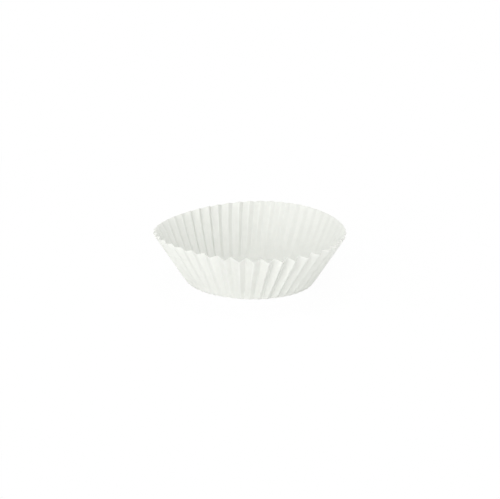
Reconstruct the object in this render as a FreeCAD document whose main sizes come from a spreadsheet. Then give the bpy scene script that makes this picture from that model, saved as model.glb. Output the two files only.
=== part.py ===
"""Fluted paper cupcake liner, one disc of greaseproof paper pressed into a shallow cup.

The blank is flat and round. The die leaves its middle flat as the base, bends it up at the
heel and gathers the spare paper of the wall into straight flutes. A flute is hardly there at
the base and deepest at the cut edge, because the blank's circumference outgrows the cup's.
The origin is the centre of the base's underside, and +Z is up. Sizes are in millimetres.
"""

import FreeCAD
import Part
import Sketcher
import math
import os

# Alias, value and meaning of each driving dimension. Diameters and heights are taken half
# way through a flute, between its outer fold and its inner fold.
SIZES = [
    ("pleats", 46, "outer folds round the cup"),
    ("base_diameter", 50.8, "flat base"),
    ("heel_spread", 0.65, "how far the heel bend stands out past the base"),
    ("heel_rise", 0.6, "height of the heel bend"),
    ("rim_diameter", 74.2, "cut edge of the wall"),
    ("rim_height", 20.0, "cut edge of the wall above the base's underside"),
    ("base_fold", 0.6, "depth of a flute where it fades into the base"),
    ("heel_fold", 1.0, "depth of a flute at the top of the heel bend"),
    ("paper", 0.1, "thickness of the paper"),
]

# Values that follow from the driving dimensions. A lean is the radius gained per unit of
# height. A flute's depth at the rim takes up what the blank's edge is longer than the rim.
# A skew is how far a flute's side turns out of the wall. An inset is how far in the inner
# face of the paper lies, measured along a radius. The flutes are lofted past the cut edge,
# by the factor in overrun, and then trimmed to it.
DERIVED = [
    ("base_radius", "sizes.base_diameter / 2"),
    ("heel_radius", "derived.base_radius + sizes.heel_spread"),
    ("rim_radius", "sizes.rim_diameter / 2"),
    ("wall_run", "derived.rim_radius - derived.heel_radius"),
    ("wall_climb", "sizes.rim_height - sizes.heel_rise"),
    ("heel_lean", "sizes.heel_spread / sizes.heel_rise"),
    ("wall_lean", "derived.wall_run / derived.wall_climb"),
    ("heel_length", "hypot(sizes.heel_spread; sizes.heel_rise)"),
    ("wall_length", "hypot(derived.wall_run; derived.wall_climb)"),
    ("blank_radius", "derived.base_radius + derived.heel_length + derived.wall_length"),
    ("blank_excess", "sqrt(derived.blank_radius ^ 2 - derived.rim_radius ^ 2)"),
    ("rim_fold", "pi / sizes.pleats * derived.blank_excess * sqrt(1 + derived.wall_lean ^ 2)"),
    ("overrun", "1 + 2 * derived.rim_fold * derived.wall_lean / derived.wall_climb"),
    ("trim_reach", "2 * derived.rim_fold * (1 + derived.wall_lean ^ 2)"),
    ("trim_rise", "derived.trim_reach * derived.wall_lean"),
    ("top_height", "sizes.heel_rise + derived.wall_climb * derived.overrun"),
    ("top_radius", "derived.heel_radius + derived.wall_run * derived.overrun"),
    ("top_fold", "sizes.heel_fold + (derived.rim_fold - sizes.heel_fold) * derived.overrun"),
    ("heel_skew", "sizes.heel_fold * sizes.pleats / (pi * derived.heel_radius)"),
    ("top_skew", "derived.top_fold * sizes.pleats / (pi * derived.top_radius)"),
    ("bend_inset", "sizes.paper * sqrt(1 + derived.heel_lean ^ 2)"),
    ("heel_inset", "sizes.paper * sqrt(1 + derived.wall_lean ^ 2 + derived.heel_skew ^ 2)"),
    ("top_inset", "sizes.paper * sqrt(1 + derived.wall_lean ^ 2 + derived.top_skew ^ 2)"),
    ("bend_radius", "derived.base_radius + derived.heel_lean * sizes.paper"),
]

# Name, height, radius and depth of each zigzag that a face of the paper is lofted through.
OUTSIDE = [
    ("base_outside", "0", "derived.base_radius", "sizes.base_fold"),
    ("heel_outside", "sizes.heel_rise", "derived.heel_radius", "sizes.heel_fold"),
    ("top_outside", "derived.top_height", "derived.top_radius", "derived.top_fold"),
]
INSIDE = [
    ("base_inside", "sizes.paper", "derived.bend_radius - derived.bend_inset", "sizes.base_fold"),
    ("heel_inside", "sizes.heel_rise", "derived.heel_radius - derived.heel_inset", "sizes.heel_fold"),
    ("top_inside", "derived.top_height", "derived.top_radius - derived.top_inset", "derived.top_fold"),
]


def labelled(expression):
    """The expression with the sheet and the derived values called by their labels."""
    return expression.replace("sizes.", "<<sizes>>.").replace("derived.", "<<derived>>.")


def make_sizes(doc):
    """The sheet of driving dimensions, and the values that follow from them."""
    sheet = doc.addObject("Spreadsheet::Sheet", "sizes")
    for row, (alias, value, meaning) in enumerate(SIZES, start=1):
        sheet.set(f"A{row}", alias)
        sheet.set(f"B{row}", str(value))
        sheet.set(f"C{row}", meaning)
        sheet.setAlias(f"B{row}", alias)
    doc.recompute()
    derived = doc.addObject("App::VarSet", "derived")
    for name, expression in DERIVED:
        derived.addProperty("App::PropertyFloat", name)
        derived.setExpression(name, labelled(expression))
    doc.recompute()
    return sheet


def attached_sketch(body, role, name):
    """An empty sketch on one of the body's own origin planes."""
    plane = next(f for f in body.Origin.OriginFeatures if f.Role == role)
    sketch = body.newObject("Sketcher::SketchObject", name)
    sketch.AttachmentSupport = (plane, [""])
    sketch.MapMode = "FlatFace"
    return sketch


def bind(sketch, name, kind, ends, expression):
    """A named dimension of the sketch, held at an expression."""
    value = float(sketch.evalExpression(labelled(expression)))
    index = sketch.addConstraint(Sketcher.Constraint(kind, *ends, value))
    sketch.renameConstraint(index, name)
    sketch.setExpression(f"Constraints.{name}", labelled(expression))


def fluted_outline(body, pleats, name, height, radius, fold):
    """A closed zigzag round the axis, with equal sides. Its corners lie by turns on an outer
    and an inner circle, half the depth of a flute outside and inside the radius."""
    sketch = attached_sketch(body, "XY_Plane", name)
    sketch.setExpression("AttachmentOffset.Base.z", labelled(height))

    ridge = f"{radius} + {fold} / 2"
    valley = f"{radius} - {fold} / 2"
    radii = [float(sketch.evalExpression(labelled(rule))) for rule in (ridge, valley)]
    centre = FreeCAD.Vector(0, 0, 0)
    up = FreeCAD.Vector(0, 0, 1)
    count = 2 * pleats
    corners = []
    for k in range(count):
        turn = math.pi * k / pleats
        corners.append(FreeCAD.Vector(math.cos(turn), math.sin(turn), 0) * radii[k % 2])
    sides = [Part.LineSegment(corners[k], corners[(k + 1) % count]) for k in range(count)]
    sketch.addGeometry(sides, False)
    circles = sketch.addGeometry([Part.Circle(centre, up, radius) for radius in radii], True)

    rules = [Sketcher.Constraint("PointOnObject", 0, 1, -1)]
    for k in range(count):
        rules.append(Sketcher.Constraint("Coincident", k, 2, (k + 1) % count, 1))
        rules.append(Sketcher.Constraint("PointOnObject", k, 1, circles[k % 2]))
    for k in range(1, count):
        rules.append(Sketcher.Constraint("Equal", 0, k))
    for circle in circles:
        rules.append(Sketcher.Constraint("Coincident", circle, 3, -1, 1))
    sketch.addConstraint(rules)
    bind(sketch, "ridge", "Radius", (circles[0],), ridge)
    bind(sketch, "valley", "Radius", (circles[1],), valley)
    return sketch


def fluted_loft(doc, body, kind, name, outlines):
    """Straight flutes through three zigzags, added to the body or cut from it."""
    loft = body.newObject(kind, name)
    loft.Profile = outlines[0]
    loft.Sections = outlines[1:]
    loft.Ruled = True
    doc.recompute()


def trim_profile(body):
    """All that lies past the cut edge, in a plane through the axis. Its first side is square
    to the wall, as the edge of the blank is, so the outer folds end lower than the inner."""
    sketch = attached_sketch(body, "XZ_Plane", "past_the_cut_edge")
    place = {
        name: float(sketch.evalExpression(f"<<derived>>.{name}"))
        for name in ("rim_radius", "trim_reach", "trim_rise", "top_height")
    }
    edge = FreeCAD.Vector(place["rim_radius"], float(sketch.evalExpression("<<sizes>>.rim_height")), 0)
    low = edge + FreeCAD.Vector(place["trim_reach"], -place["trim_rise"], 0)
    high = edge + FreeCAD.Vector(-place["trim_reach"], place["trim_rise"], 0)
    roof = place["top_height"] + place["trim_rise"]
    corners = [low, high, FreeCAD.Vector(high.x, roof, 0), FreeCAD.Vector(low.x, roof, 0)]
    sides = [Part.LineSegment(corners[k], corners[(k + 1) % 4]) for k in range(4)]
    square, inner, top, outer = sketch.addGeometry(sides, False)
    mark = sketch.addGeometry(Part.Point(edge), True)

    rules = [Sketcher.Constraint("Coincident", k, 2, (k + 1) % 4, 1) for k in range(4)]
    rules.append(Sketcher.Constraint("Vertical", inner))
    rules.append(Sketcher.Constraint("Horizontal", top))
    rules.append(Sketcher.Constraint("Vertical", outer))
    rules.append(Sketcher.Constraint("PointOnObject", mark, 1, square))
    sketch.addConstraint(rules)
    bind(sketch, "rim_radius", "DistanceX", (-1, 1, mark, 1), "derived.rim_radius")
    bind(sketch, "rim_height", "DistanceY", (-1, 1, mark, 1), "sizes.rim_height")
    bind(sketch, "inner_reach", "DistanceX", (square, 2, mark, 1), "derived.trim_reach")
    bind(sketch, "outer_reach", "DistanceX", (mark, 1, square, 1), "derived.trim_reach")
    bind(sketch, "rise", "DistanceY", (mark, 1, square, 2), "derived.trim_rise")
    bind(sketch, "roof", "DistanceY", (-1, 1, top, 1), "derived.top_height + derived.trim_rise")
    return sketch


def make_liner(doc, sheet):
    """The whole cup. Its outer face is lofted as a solid, the inside is lofted away one
    thickness of paper further in, and the top is trimmed to the blank's cut edge."""
    body = doc.addObject("PartDesign::Body", "paper_liner")
    body.Label = "paper_liner"
    pleats = int(sheet.pleats)

    outside = [fluted_outline(body, pleats, *ring) for ring in OUTSIDE]
    fluted_loft(doc, body, "PartDesign::AdditiveLoft", "pressed_form", outside)
    inside = [fluted_outline(body, pleats, *ring) for ring in INSIDE]
    fluted_loft(doc, body, "PartDesign::SubtractiveLoft", "room_for_the_cake", inside)

    profile = trim_profile(body)
    trim = body.newObject("PartDesign::Groove", "cut_edge")
    trim.Profile = profile
    trim.ReferenceAxis = (profile, ["V_Axis"])
    trim.Angle = 360
    body.Tip = trim
    doc.recompute()
    return body


def check(doc, pieces):
    """Stops if any object failed, or if a piece isn't one valid solid."""
    for item in doc.Objects:
        if "Invalid" in item.State or "Error" in item.State:
            raise RuntimeError(f"{item.Label} failed: {item.getStatusString()}")
    for piece in pieces:
        shape = piece.Shape
        if shape.isNull() or not shape.isValid() or len(shape.Solids) != 1 or shape.Volume <= 0:
            raise RuntimeError(f"{piece.Label} isn't one valid solid")


doc = FreeCAD.newDocument("cupcake_liner")
sheet = make_sizes(doc)
pieces = [make_liner(doc, sheet)]
check(doc, pieces)
os.makedirs("parts", exist_ok=True)
for piece in pieces:
    piece.Shape.exportStep(f"parts/{piece.Label}.step")
    print(f"{piece.Label}: {piece.Shape.Volume:.1f} mm3, {len(piece.Shape.Faces)} faces")
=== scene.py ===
import math

import bpy
from mathutils import Matrix, Vector


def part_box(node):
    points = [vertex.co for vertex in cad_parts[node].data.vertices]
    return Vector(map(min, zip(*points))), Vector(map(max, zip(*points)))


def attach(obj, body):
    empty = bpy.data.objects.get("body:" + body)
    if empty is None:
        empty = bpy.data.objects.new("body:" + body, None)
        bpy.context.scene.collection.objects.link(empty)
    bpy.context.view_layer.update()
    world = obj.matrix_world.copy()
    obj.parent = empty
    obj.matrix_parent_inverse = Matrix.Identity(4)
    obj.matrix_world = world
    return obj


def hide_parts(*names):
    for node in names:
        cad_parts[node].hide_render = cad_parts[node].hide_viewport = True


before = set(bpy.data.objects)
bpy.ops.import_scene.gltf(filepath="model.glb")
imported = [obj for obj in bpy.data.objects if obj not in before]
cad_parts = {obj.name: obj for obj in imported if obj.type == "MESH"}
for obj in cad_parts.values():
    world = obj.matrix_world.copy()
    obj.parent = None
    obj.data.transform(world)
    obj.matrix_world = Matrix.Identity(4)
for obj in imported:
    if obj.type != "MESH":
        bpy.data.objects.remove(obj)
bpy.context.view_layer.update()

# Paper cup. The real one is a disc of thin white greaseproof paper, pressed between a ribbed
# punch and die, so that the spare circumference goes into folds. It is one piece: a flat
# base, a small heel bend and a slanted wall of folds that are deepest at the cut edge.
liner_low, liner_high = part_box("paper_liner")
folds = 46
paper_thickness = 0.0001
corner_radius = 0.0254
bend_radius = 0.00075
fold_start = 0.0022
crispness = 0.96
unevenness = 1.0
seed = 7

# Lengths are in metres. The rim's radius and height are those of its middle line, and the
# folds stand past that line by this much, outwards and upwards.
folds_past_rim = 0.0009
folds_above_rim = 0.0006
rim_radius = (liner_high[0] - liner_low[0]) / 2 - folds_past_rim
rim_height = liner_high[2] - folds_above_rim


def add_node(tree, kind, **settings):
    node = tree.nodes.new(kind)
    for name, value in settings.items():
        setattr(node, name, value)
    return node


def wire(tree, source, target):
    if isinstance(source, bpy.types.NodeSocket):
        tree.links.new(source, target)
    else:
        target.default_value = source


def maths(tree, operation, *values):
    node = add_node(tree, "ShaderNodeMath", operation=operation)
    for socket, value in zip(node.inputs, values):
        wire(tree, value, socket)
    return node.outputs[0]


def share_of(tree, value, start, end):
    node = add_node(tree, "ShaderNodeMapRange", clamp=True)
    wire(tree, value, node.inputs["Value"])
    wire(tree, start, node.inputs["From Min"])
    wire(tree, end, node.inputs["From Max"])
    return node.outputs["Result"]


def between(tree, share, low, high):
    node = add_node(tree, "ShaderNodeMix", data_type="FLOAT", clamp_factor=False)
    wire(tree, share, node.inputs[0])
    wire(tree, low, node.inputs[2])
    wire(tree, high, node.inputs[3])
    return node.outputs[0]


cup_tree = bpy.data.node_groups.new("pressed_paper_cup", "GeometryNodeTree")
cup_inputs = [
    ("Folds", "NodeSocketInt", folds),
    ("Corner Radius", "NodeSocketFloat", corner_radius),
    ("Bend Radius", "NodeSocketFloat", bend_radius),
    ("Rim Radius", "NodeSocketFloat", rim_radius),
    ("Rim Height", "NodeSocketFloat", rim_height),
    ("Paper Thickness", "NodeSocketFloat", paper_thickness),
    ("Fold Start", "NodeSocketFloat", fold_start),
    ("Crispness", "NodeSocketFloat", crispness),
    ("Unevenness", "NodeSocketFloat", unevenness),
    ("Seed", "NodeSocketInt", seed),
    ("Paper", "NodeSocketMaterial", None),
]
for name, kind, value in cup_inputs:
    socket = cup_tree.interface.new_socket(name, in_out="INPUT", socket_type=kind)
    if value is not None:
        socket.default_value = value
cup_tree.interface.new_socket("Cup", in_out="OUTPUT", socket_type="NodeSocketGeometry")
given = add_node(cup_tree, "NodeGroupInput").outputs
cup_end = add_node(cup_tree, "NodeGroupOutput")


def work_out(operation, *values):
    return maths(cup_tree, operation, *values)


def plus(first, *others):
    for other in others:
        first = work_out("ADD", first, other)
    return first


def less(first, second):
    return work_out("SUBTRACT", first, second)


def times(first, second):
    return work_out("MULTIPLY", first, second)


def over(first, second):
    return work_out("DIVIDE", first, second)


# The sheet starts as a flat grid. Its X goes once round the cup, past a tip at the crest and
# at the valley of each fold, and its Y goes from the middle of the base to the cut edge.
steps_per_half_fold = 8
steps_across_the_base = 10
steps_round_the_heel = 6
steps_up_the_wall = 30
wall_start = steps_across_the_base + steps_round_the_heel
rows = wall_start + steps_up_the_wall
tips = times(given["Folds"], 2)
grid = add_node(cup_tree, "GeometryNodeMeshGrid")
wire(cup_tree, 1, grid.inputs["Size X"])
wire(cup_tree, 1, grid.inputs["Size Y"])
wire(cup_tree, work_out("MULTIPLY_ADD", tips, steps_per_half_fold, 1), grid.inputs["Vertices X"])
wire(cup_tree, rows + 1, grid.inputs["Vertices Y"])
place = add_node(cup_tree, "ShaderNodeSeparateXYZ")
wire(cup_tree, add_node(cup_tree, "GeometryNodeInputPosition").outputs[0], place.inputs[0])
around = plus(place.outputs["X"], 0.5)
row = times(plus(place.outputs["Y"], 0.5), rows)
base_share = share_of(cup_tree, row, 0, steps_across_the_base)
heel_share = share_of(cup_tree, row, steps_across_the_base, wall_start)
wall_share = share_of(cup_tree, row, wall_start, rows)

# The plain cup, without folds: the flat base, the heel's arc and the straight slanted wall.
slope = work_out("ARCTAN2", given["Rim Height"], less(given["Rim Radius"], given["Corner Radius"]))
half_bend = times(given["Bend Radius"], work_out("TANGENT", times(slope, 0.5)))
base_radius = less(given["Corner Radius"], half_bend)
across_the_base = times(base_radius, base_share)
turn = times(slope, heel_share)
heel_out = times(given["Bend Radius"], work_out("SINE", turn))
heel_up = times(given["Bend Radius"], less(1, work_out("COSINE", turn)))
wall_length = less(over(given["Rim Height"], work_out("SINE", slope)), half_bend)
up_the_wall = times(wall_length, wall_share)
plain_radius = plus(across_the_base, heel_out, times(up_the_wall, work_out("COSINE", slope)))
plain_height = work_out("MULTIPLY_ADD", up_the_wall, work_out("SINE", slope), heel_up)

# Each point lies between two tips. Even tips stand out and odd tips stand in, and no two are
# quite alike in place or in depth. Places are in steps from one tip to the next.
tip_drift = 0.09
outer_tip_lead = 0.14
first_tip_place = 0.93
tip_depth_spread = 0.13
depth_seed_gap = 11
tip_place = times(around, tips)
tip_before = work_out("FLOOR", tip_place)
tip_after = plus(tip_before, 1)
tip_share = less(tip_place, tip_before)
this_tip = work_out("FLOORED_MODULO", tip_before, tips)
next_tip = work_out("FLOORED_MODULO", tip_after, tips)
tip_step = over(2 * math.pi, tips)


def random_of(tip, tip_seed, spread):
    node = add_node(cup_tree, "FunctionNodeRandomValue", data_type="FLOAT")
    wire(cup_tree, -spread, node.inputs[2])
    wire(cup_tree, spread, node.inputs[3])
    wire(cup_tree, tip, node.inputs["ID"])
    wire(cup_tree, tip_seed, node.inputs["Seed"])
    return node.outputs[1]


def tip_angle(number, tip):
    drift = times(random_of(tip, given["Seed"], tip_drift), given["Unevenness"])
    outward = less(1, work_out("FLOORED_MODULO", tip, 2))
    lead = times(outward, outer_tip_lead)
    return times(plus(number, drift, lead, first_tip_place), tip_step)


def tip_side(tip):
    inward = work_out("FLOORED_MODULO", tip, 2)
    side = work_out("MULTIPLY_ADD", inward, -2, 1)
    depth = random_of(tip, plus(given["Seed"], depth_seed_gap), tip_depth_spread)
    depth = work_out("MULTIPLY_ADD", depth, given["Unevenness"], 1)
    return times(side, depth)


angle_here = tip_angle(tip_before, this_tip)
angle_next = tip_angle(tip_after, next_tip)
even_angle = between(cup_tree, tip_share, angle_here, angle_next)
wave = times(work_out("COSINE", times(tip_share, math.pi)), given["Crispness"])
wave = over(work_out("ARCSINE", wave), work_out("ARCSINE", given["Crispness"]))
fold_share = work_out("MULTIPLY_ADD", wave, -0.5, 0.5)
fold_side = between(cup_tree, fold_share, tip_side(this_tip), tip_side(next_tip))


# The pressed cup isn't quite even all round. A swell is a size, its waves in one turn and its
# phase. A patch is a size, the angle of its middle and how narrow it is. Angles are degrees
# anticlockwise from +X as seen from above, so the back is at 90 and the front at -90.
def swell(angle, size, waves, phase_deg):
    turned = work_out("MULTIPLY_ADD", angle, waves, -math.radians(phase_deg))
    return times(work_out("COSINE", turned), size)


def patch(angle, size, middle_deg, narrowness):
    near = plus(swell(angle, 0.5, 1, middle_deg), 0.5)
    return times(work_out("POWER", near, narrowness), size)


def uneven(usual, angle, swells, patches):
    for size, waves, phase_deg in swells:
        usual = plus(usual, swell(angle, size, waves, phase_deg))
    for size, middle_deg, narrowness in patches:
        usual = plus(usual, patch(angle, size, middle_deg, narrowness))
    return usual


# Towards the cut edge the folds drift round the cup, by up to 8 degrees. They crowd together
# at the back and spread at the front.
drift_swells = [(0.14, 1, -16)]
drift_patches = [(-0.035, -66, 70)]
drift_round = uneven(0, even_angle, drift_swells, drift_patches)
angle = work_out("MULTIPLY_ADD", drift_round, wall_share, even_angle)

# A fold reaches as far to each side as it takes to use up the spare circumference. A shallow
# crimp is pressed in besides, at the edge of the base and at the foot of the wall, where it
# all but fades out at the front left.
base_crimp_depth = 0.00007
wall_crimp_depth = 0.00022
wall_crimp_run = 0.0025
wall_crimp_patches = [(-0.85, 226, 14)]
flat_radius = plus(across_the_base, times(given["Bend Radius"], turn), up_the_wall)
fold_edge = less(base_radius, given["Fold Start"])
folded_run = work_out("MAXIMUM", less(flat_radius, fold_edge), 0)
spare = less(work_out("POWER", flat_radius, 2), work_out("POWER", plain_radius, 2))
spare = work_out("SQRT", work_out("MAXIMUM", spare, 0))
fold_reach = times(over(spare, tips), math.pi)
base_crimp = times(share_of(cup_tree, folded_run, 0, given["Fold Start"]), base_crimp_depth)
wall_crimp = times(share_of(cup_tree, up_the_wall, 0, wall_crimp_run), wall_crimp_depth)
wall_crimp = times(wall_crimp, less(1, wall_share))
wall_crimp = times(wall_crimp, uneven(1, even_angle, [], wall_crimp_patches))
fold_reach = plus(fold_reach, plus(base_crimp, wall_crimp))

# The folds are softer at both sides and at places round the back, and a little deeper at the
# front. Each size is a share of the usual depth.
depth_patches = [
    (-0.58, 225, 14),
    (-0.30, 180, 30),
    (-0.32, 2, 28),
    (-0.16, 132, 10),
    (-0.45, 60, 4),
    (0.12, -90, 10),
    (-0.40, 30, 12),
    (-0.42, -24, 14),
]
fold_reach = times(fold_reach, uneven(1, even_angle, [], depth_patches))
fold_offset = times(fold_reach, fold_side)
radius = work_out("MULTIPLY_ADD", fold_offset, work_out("SINE", turn), plain_radius)
height = less(plain_height, times(fold_offset, work_out("COSINE", turn)))

# The cut edge is a little out of round, and it rises and falls by about a millimetre.
rim_out_swells = [(0.00016, 1, 153), (0.00044, 2, 170), (0.00024, 3, 170)]
rim_out_patches = [(0.0013, -5, 16), (0.0010, 184, 20)]
rim_up_swells = [(0.00059, 1, 12), (0.00072, 2, 100), (0.00020, 3, -98)]
rim_out = uneven(0, angle, rim_out_swells, rim_out_patches)
rim_up = uneven(0, angle, rim_up_swells, [])
radius = work_out("MULTIPLY_ADD", rim_out, wall_share, radius)
height = work_out("MULTIPLY_ADD", rim_up, wall_share, height)
folded = add_node(cup_tree, "ShaderNodeCombineXYZ")
wire(cup_tree, times(radius, work_out("COSINE", angle)), folded.inputs["X"])
wire(cup_tree, times(radius, work_out("SINE", angle)), folded.inputs["Y"])
wire(cup_tree, work_out("MAXIMUM", height, 0), folded.inputs["Z"])


def worked(mesh, kind, inputs, **settings):
    node = add_node(cup_tree, kind, **settings)
    wire(cup_tree, mesh, node.inputs[0])
    for name, value in inputs.items():
        wire(cup_tree, value, node.inputs[name])
    return node.outputs[0]


# The grid takes the folded shape, and its two ends meet. A copy of it lines the inside, one
# paper's thickness in, and closes it along the cut edge, where the corners stay sharp.
crease_name = "crease"
crease_narrowness = 8
meeting_distance = 1e-7
sharp_angle_rad = 0.9
# The crease value is highest at each fold tip on the wall, where the paper paints its highlight.
nearness = work_out("ABSOLUTE", work_out("MULTIPLY_ADD", tip_share, 2, -1))
crease = times(work_out("POWER", nearness, crease_narrowness), wall_share)
marked = {"Name": crease_name, "Value": crease}
one_sheet = {"Offset Scale": given["Paper Thickness"], "Individual": False}
outside = grid.outputs["Mesh"]
outside = worked(outside, "GeometryNodeStoreNamedAttribute", marked, data_type="FLOAT", domain="POINT")
outside = worked(outside, "GeometryNodeSetPosition", {"Position": folded.outputs[0]})
outside = worked(outside, "GeometryNodeMergeByDistance", {"Distance": meeting_distance})
lining = worked(outside, "GeometryNodeFlipFaces", {})
lining = worked(lining, "GeometryNodeExtrudeMesh", one_sheet, mode="FACES")
both = add_node(cup_tree, "GeometryNodeJoinGeometry")
wire(cup_tree, outside, both.inputs[0])
wire(cup_tree, lining, both.inputs[0])
cup = worked(both.outputs[0], "GeometryNodeMergeByDistance", {"Distance": meeting_distance})
cup = worked(cup, "GeometryNodeSetShadeSmooth", {"Shade Smooth": True}, domain="FACE")
edge_angle = add_node(cup_tree, "GeometryNodeInputMeshEdgeAngle").outputs["Unsigned Angle"]
sharp_edges = work_out("GREATER_THAN", edge_angle, sharp_angle_rad)
kept_sharp = {"Selection": sharp_edges, "Shade Smooth": False}
cup = worked(cup, "GeometryNodeSetShadeSmooth", kept_sharp, domain="EDGE")
cup = worked(cup, "GeometryNodeRealizeInstances", {})
cup = worked(cup, "GeometryNodeSetMaterial", {"Material": given["Paper"]})
wire(cup_tree, cup, cup_end.inputs["Cup"])


def cleared_tree(owner):
    owner.use_nodes = True
    owner.node_tree.nodes.clear()
    return owner.node_tree


def mix_shaders(tree, share, first, second):
    node = add_node(tree, "ShaderNodeMixShader")
    wire(tree, share, node.inputs[0])
    wire(tree, first, node.inputs[1])
    wire(tree, second, node.inputs[2])
    return node.outputs[0]


# The paper is off-white and matt, with faint clouds in its colour and a fine grain of pulp.
# The pressed lines are a little paler, partly from the pressing and partly as a painted highlight
# where the fold tips catch the light, and some of the light comes through the sheet.
dull_paper = (0.824, 0.832, 0.804, 1.0)
pale_paper = (0.844, 0.852, 0.824, 1.0)
# Paler colour at the crease lines: partly pressed paper, partly a painted highlight on the fold tips.
pressed_highlight_paper = (0.864, 0.872, 0.848, 1.0)
pressed_highlight_strength = 0.5
least_roughness = 0.45
pulp_roughness = 0.2
pressed_roughness = 0.06
paper_gloss = 0.5
grain_strength = 0.25
grain_depth = 0.00004
light_through = 0.35
paper = bpy.data.materials.new("greaseproof_paper")
paper_tree = cleared_tree(paper)
paper_place = add_node(paper_tree, "ShaderNodeTexCoord").outputs["Object"]


def speckle(scale, detail, roughness):
    node = add_node(paper_tree, "ShaderNodeTexNoise")
    wire(paper_tree, paper_place, node.inputs["Vector"])
    wire(paper_tree, scale, node.inputs["Scale"])
    wire(paper_tree, detail, node.inputs["Detail"])
    wire(paper_tree, roughness, node.inputs["Roughness"])
    return node.outputs["Fac"]


def mix_colours(share, first, second):
    node = add_node(paper_tree, "ShaderNodeMix", data_type="RGBA")
    wire(paper_tree, share, node.inputs[0])
    wire(paper_tree, first, node.inputs[6])
    wire(paper_tree, second, node.inputs[7])
    return node.outputs[2]


clouds = speckle(scale=420, detail=3, roughness=0.6)
pulp = speckle(scale=5200, detail=4, roughness=0.7)
creases = add_node(paper_tree, "ShaderNodeAttribute", attribute_name=crease_name)
pressed_lines = creases.outputs["Fac"]
cloud_share = share_of(paper_tree, clouds, start=0.35, end=0.65)
shade = mix_colours(cloud_share, dull_paper, pale_paper)
# Painted highlight: the crease lines are mixed towards the paler colour.
crease_highlight_amount = maths(paper_tree, "MULTIPLY", pressed_lines, pressed_highlight_strength)
colour = mix_colours(crease_highlight_amount, shade, pressed_highlight_paper)
roughness = maths(paper_tree, "MULTIPLY_ADD", pulp, pulp_roughness, least_roughness)
roughness = maths(paper_tree, "MULTIPLY_ADD", pressed_lines, pressed_roughness, roughness)
grain = add_node(paper_tree, "ShaderNodeBump")
wire(paper_tree, grain_strength, grain.inputs["Strength"])
wire(paper_tree, grain_depth, grain.inputs["Distance"])
wire(paper_tree, pulp, grain.inputs["Height"])
face = add_node(paper_tree, "ShaderNodeBsdfPrincipled")
wire(paper_tree, colour, face.inputs["Base Color"])
wire(paper_tree, paper_gloss, face.inputs["Specular IOR Level"])
wire(paper_tree, roughness, face.inputs["Roughness"])
wire(paper_tree, grain.outputs["Normal"], face.inputs["Normal"])
through = add_node(paper_tree, "ShaderNodeBsdfTranslucent")
wire(paper_tree, colour, through.inputs["Color"])
wire(paper_tree, grain.outputs["Normal"], through.inputs["Normal"])
paper_look = mix_shaders(paper_tree, light_through, face.outputs[0], through.outputs[0])
paper_end = add_node(paper_tree, "ShaderNodeOutputMaterial")
wire(paper_tree, paper_look, paper_end.inputs["Surface"])

# The tree presses one cup, which is kept as a plain mesh in place of the solid.
pressed = bpy.data.objects.new("press", bpy.data.meshes.new("press"))
bpy.context.scene.collection.objects.link(pressed)
press = pressed.modifiers.new("press", "NODES")
press.node_group = cup_tree
press_sockets = [item for item in cup_tree.interface.items_tree if item.in_out == "INPUT"]
press_keys = {item.name: item.identifier for item in press_sockets}
for name, kind, value in cup_inputs:
    press[press_keys[name]] = paper if name == "Paper" else value
evaluated = pressed.evaluated_get(bpy.context.evaluated_depsgraph_get())
cup_mesh = bpy.data.meshes.new_from_object(evaluated)
cup_mesh.name = "paper_cup"
bpy.data.objects.remove(pressed)
paper_cup = bpy.data.objects.new("paper_cup", cup_mesh)
bpy.context.scene.collection.objects.link(paper_cup)
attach(paper_cup, "root")
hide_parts("paper_liner")

# Table. A plain white surface that the cup stands on, far wider than the view, with its top a
# hair below the cup's base. The camera sees it as white as the backdrop, but a little less so
# close to the cup, where the cup's faint soft shadow shows.
table_reach = 3.0
table_top = -0.00002
table_white = (0.9, 0.9, 0.9, 1.0)
near_whiteness = 0.96
far_whiteness = 1.0
near_distance = 0.05
far_distance = 0.20
corners = [(-table_reach, -table_reach), (table_reach, -table_reach)]
corners += [(table_reach, table_reach), (-table_reach, table_reach)]
corners = [(x, y, table_top) for x, y in corners]
table_mesh = bpy.data.meshes.new("table")
table_mesh.from_pydata(corners, [], [(0, 1, 2, 3)])
table = bpy.data.objects.new("table", table_mesh)
bpy.context.scene.collection.objects.link(table)


def seen_or_mirrored(tree):
    rays = add_node(tree, "ShaderNodeLightPath").outputs
    mirrored = maths(tree, "MAXIMUM", rays["Is Glossy Ray"], rays["Is Transmission Ray"])
    return maths(tree, "MAXIMUM", rays["Is Camera Ray"], mirrored)


white = bpy.data.materials.new("white_table")
white_tree = cleared_tree(white)
matt = add_node(white_tree, "ShaderNodeBsdfDiffuse")
wire(white_tree, table_white, matt.inputs["Color"])
glow = add_node(white_tree, "ShaderNodeEmission")
wire(white_tree, 1, glow.inputs["Strength"])
table_place = add_node(white_tree, "ShaderNodeTexCoord").outputs["Object"]
distance = add_node(white_tree, "ShaderNodeVectorMath", operation="LENGTH")
wire(white_tree, table_place, distance.inputs[0])
far_share = share_of(white_tree, distance.outputs["Value"], near_distance, far_distance)
whiteness = between(white_tree, far_share, near_whiteness, far_whiteness)
glow_share = maths(white_tree, "MULTIPLY", seen_or_mirrored(white_tree), whiteness)
table_look = mix_shaders(white_tree, glow_share, matt.outputs[0], glow.outputs[0])
white_end = add_node(white_tree, "ShaderNodeOutputMaterial")
wire(white_tree, table_look, white_end.inputs["Surface"])
table_mesh.materials.append(white)

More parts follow.
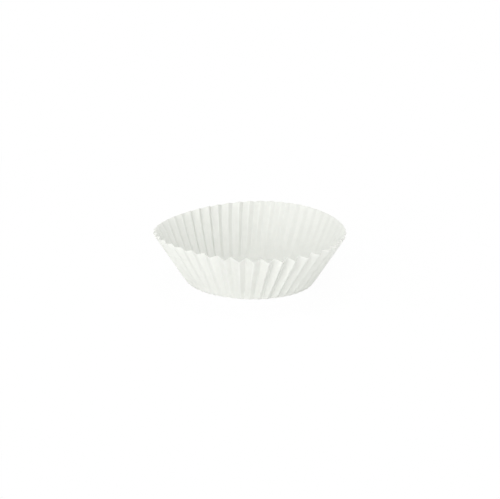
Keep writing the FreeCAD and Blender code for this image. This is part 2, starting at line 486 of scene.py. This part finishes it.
# Studio light. Six round soft lamps stand round the cup: two low ones at the front left and
# front right, and four higher ones at the left, front, front right and back. A pale surround
# fills the shade, and the camera sees it as plain white.
fill_strength = 0.63
backdrop_strength = 1.0
pure_white = (1.0, 1.0, 1.0, 1.0)
world = bpy.data.worlds.new("surround")
bpy.context.scene.world = world
world_tree = cleared_tree(world)
fill = add_node(world_tree, "ShaderNodeBackground")
wire(world_tree, pure_white, fill.inputs["Color"])
wire(world_tree, fill_strength, fill.inputs["Strength"])
backdrop = add_node(world_tree, "ShaderNodeBackground")
wire(world_tree, pure_white, backdrop.inputs["Color"])
wire(world_tree, backdrop_strength, backdrop.inputs["Strength"])
seen = seen_or_mirrored(world_tree)
world_look = mix_shaders(world_tree, seen, fill.outputs[0], backdrop.outputs[0])
world_end = add_node(world_tree, "ShaderNodeOutputWorld")
wire(world_tree, world_look, world_end.inputs["Surface"])

lamp_distance = 0.9
lamp_width = 0.5


def soft_lamp(name, azimuth_deg, height_deg, power):
    data = bpy.data.lights.new(name, "AREA")
    data.shape = "DISK"
    data.size = lamp_width
    data.energy = power
    lamp = bpy.data.objects.new(name, data)
    bpy.context.scene.collection.objects.link(lamp)
    azimuth = math.radians(azimuth_deg)
    climb = math.radians(height_deg)
    level = math.cos(climb)
    away = Vector((math.cos(azimuth) * level, math.sin(azimuth) * level, math.sin(climb)))
    lamp.location = away * lamp_distance
    lamp.rotation_euler = away.to_track_quat("Z", "Y").to_euler()


soft_lamp("left_lamp", azimuth_deg=180, height_deg=30, power=0.85)
soft_lamp("low_left_lamp", azimuth_deg=230, height_deg=8, power=2.3)
soft_lamp("front_lamp", azimuth_deg=255, height_deg=30, power=2.5)
soft_lamp("low_right_lamp", azimuth_deg=305, height_deg=8, power=1.4)
soft_lamp("right_lamp", azimuth_deg=305, height_deg=30, power=0.7)
soft_lamp("back_lamp", azimuth_deg=90, height_deg=60, power=2.0)

# Camera. It stands not quite a metre in front of the cup, looks down at it at a low angle and
# is rolled by about a degree. The aim is a point on the cup's axis, and the aim's pixel is
# where that point falls in the frame.
view_height_deg = 18.4
view_distance = 0.95
view_roll_deg = 1.15
aim_height = 0.0095
aim_pixel_x = 250.32
aim_pixel_y = 255.56
image_width = 500
image_height = 499
pixels_per_metre = 2522
sensor_width = 36
camera_data = bpy.data.cameras.new("camera")
camera = bpy.data.objects.new("camera", camera_data)
bpy.context.scene.collection.objects.link(camera)
camera_data.sensor_width = sensor_width
camera_data.lens = pixels_per_metre * view_distance * sensor_width / image_width
view_height = math.radians(view_height_deg)
view_roll = math.radians(view_roll_deg)
back = Vector((0, -math.cos(view_height), math.sin(view_height)))
camera.location = Vector((0, 0, aim_height)) + back * view_distance
facing = back.to_track_quat("Z", "Y").to_matrix() @ Matrix.Rotation(view_roll, 3, "Z")
camera.rotation_euler = facing.to_euler()
camera_data.shift_x = (image_width / 2 - aim_pixel_x) / image_width
camera_data.shift_y = (aim_pixel_y - image_height / 2) / image_width
bpy.context.scene.camera = camera
bpy.context.scene.view_settings.view_transform = "Standard"
